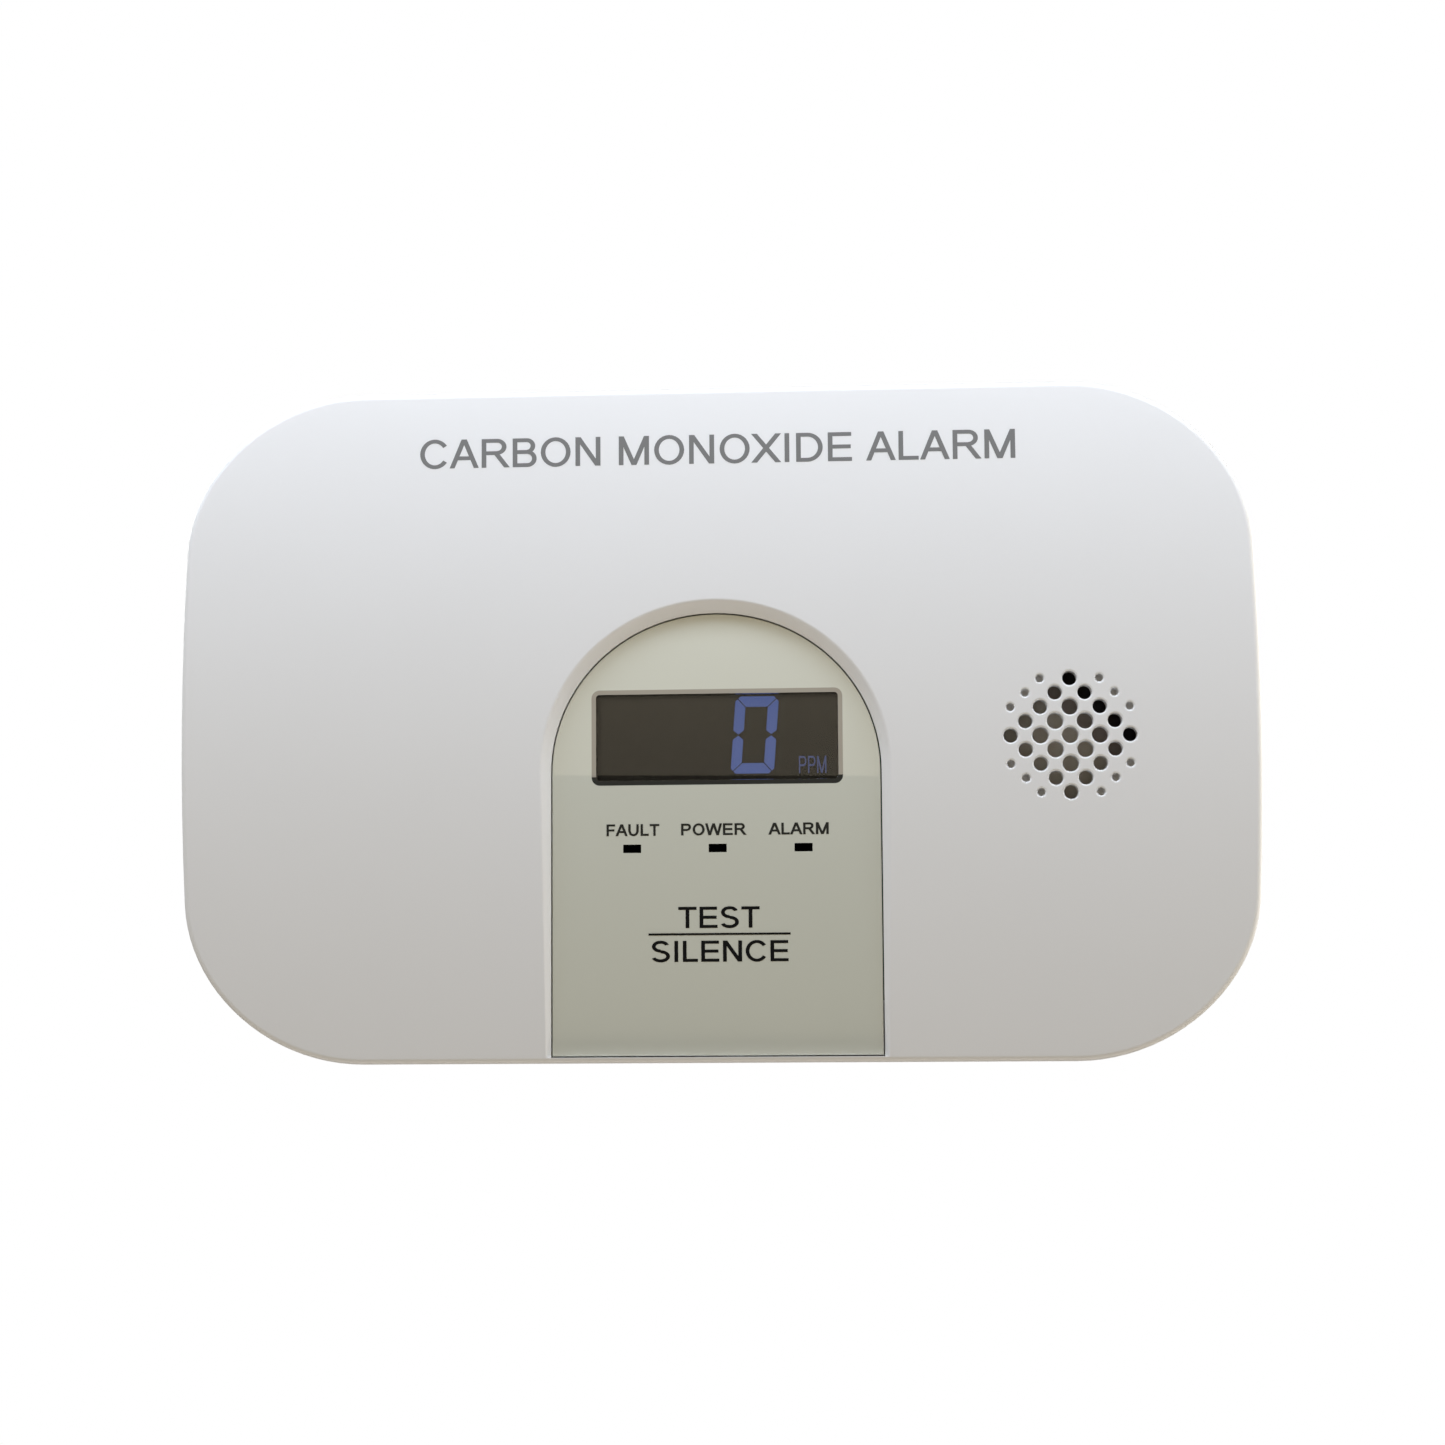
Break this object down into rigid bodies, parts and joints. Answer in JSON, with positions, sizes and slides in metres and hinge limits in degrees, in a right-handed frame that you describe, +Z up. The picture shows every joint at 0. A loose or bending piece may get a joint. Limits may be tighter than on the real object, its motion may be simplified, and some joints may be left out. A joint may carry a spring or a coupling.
{
  "type": "carbon monoxide detector",
  "caption": "Wall-hung carbon monoxide alarm: rounded white housing, arch-shaped test panel over a display and status lights, sounder grille, rear battery door.",
  "frame": {"origin": "midway between the two keyhole hanging points, on the flat back that lies against the wall", "axes": "+X to the right seen from the front, +Y into the wall, +Z up; the front faces -Y"},
  "size_m": [0.12, 0.036, 0.075],
  "materials": {
    "shell_white": "satin white ABS",
    "panel_clear": "clear glossy lens printed grey-green behind",
    "carrier_grey": "plain moulded",
    "lcd_dark": "dark display glass",
    "diffuser": "frosted light guide",
    "black_plastic": "fine matt",
    "rubber_black": "soft",
    "led_clear": "clear resin",
    "board_green": "solder mask",
    "steel": "plated",
    "brass": "dull disc",
    "ceramic": "silvered ceramic",
    "felt_white": "filter felt",
    "ferrite": "dark ferrite",
    "capacitor_sleeve": "shrink sleeve",
    "cell_jacket": "printed jacket",
    "wire_red": "insulation",
    "wire_black": "insulation",
    "print_grey": "printed ink"
  },
  "bodies": {
    "housing": {"front_cover": "shell_white", "back_cover": "shell_white", "lcd_glass": "lcd_dark", "lcd_backlight": "diffuser", "lcd_zebra_strip": "rubber_black", "lcd_frame": "black_plastic", "led_shroud": "black_plastic", "led_fault": "led_clear", "led_power": "led_clear", "led_alarm": "led_clear", "test_switch_body": "black_plastic", "circuit_board": "board_green", "microcontroller": "black_plastic", "boost_inductor": "ferrite", "bulk_capacitor": "capacitor_sleeve", "filter_capacitor": "capacitor_sleeve", "co_sensor_base": "black_plastic", "co_sensor_can": "steel", "co_sensor_filter": "felt_white", "sounder_cup": "black_plastic", "sounder_gasket": "rubber_black", "piezo_plate": "brass", "piezo_ceramic": "ceramic", "piezo_lead_red": "wire_red", "piezo_lead_black": "wire_black", "battery_terminal_negative": "steel", "battery_link_left": "steel", "battery_link_right": "steel", "battery_terminal_positive": "steel", "battery_1": "cell_jacket", "battery_2": "cell_jacket", "battery_3": "cell_jacket", "battery_spring_1": "steel", "battery_spring_2": "steel", "battery_spring_3": "steel", "case_screw_1": "steel", "case_screw_2": "steel", "case_screw_3": "steel", "case_screw_4": "steel", "board_screw_1": "steel", "board_screw_2": "steel", "board_screw_3": "steel", "board_screw_4": "steel"},
    "test_panel": {"panel_lens": "panel_clear", "panel_carrier": "carrier_grey"},
    "test_switch": {"test_switch_plunger": "carrier_grey"},
    "battery_door": {"battery_door": "shell_white"}
  },
  "joints": [
    {"name": "test_panel_press", "type": "hinge", "parent": "housing", "child": "test_panel", "pos_m": [0, -0.0299, -0.0187], "axis": [1, 0, 0], "range_deg": [0, 0.9], "stiffness_Nm_per_rad": 2},
    {"name": "test_switch_press", "type": "slide", "parent": "housing", "child": "test_switch", "axis": [0, 1, 0], "range_m": [0, 0.0006]},
    {"name": "battery_door_slide", "type": "slide", "parent": "housing", "child": "battery_door", "axis": [0, 0, -1], "range_m": [0, 0.048]}
  ],
  "couplings": [
    {"joint": "test_switch_press", "follows": "test_panel_press", "m_per_rad": 0.0333}
  ]
}
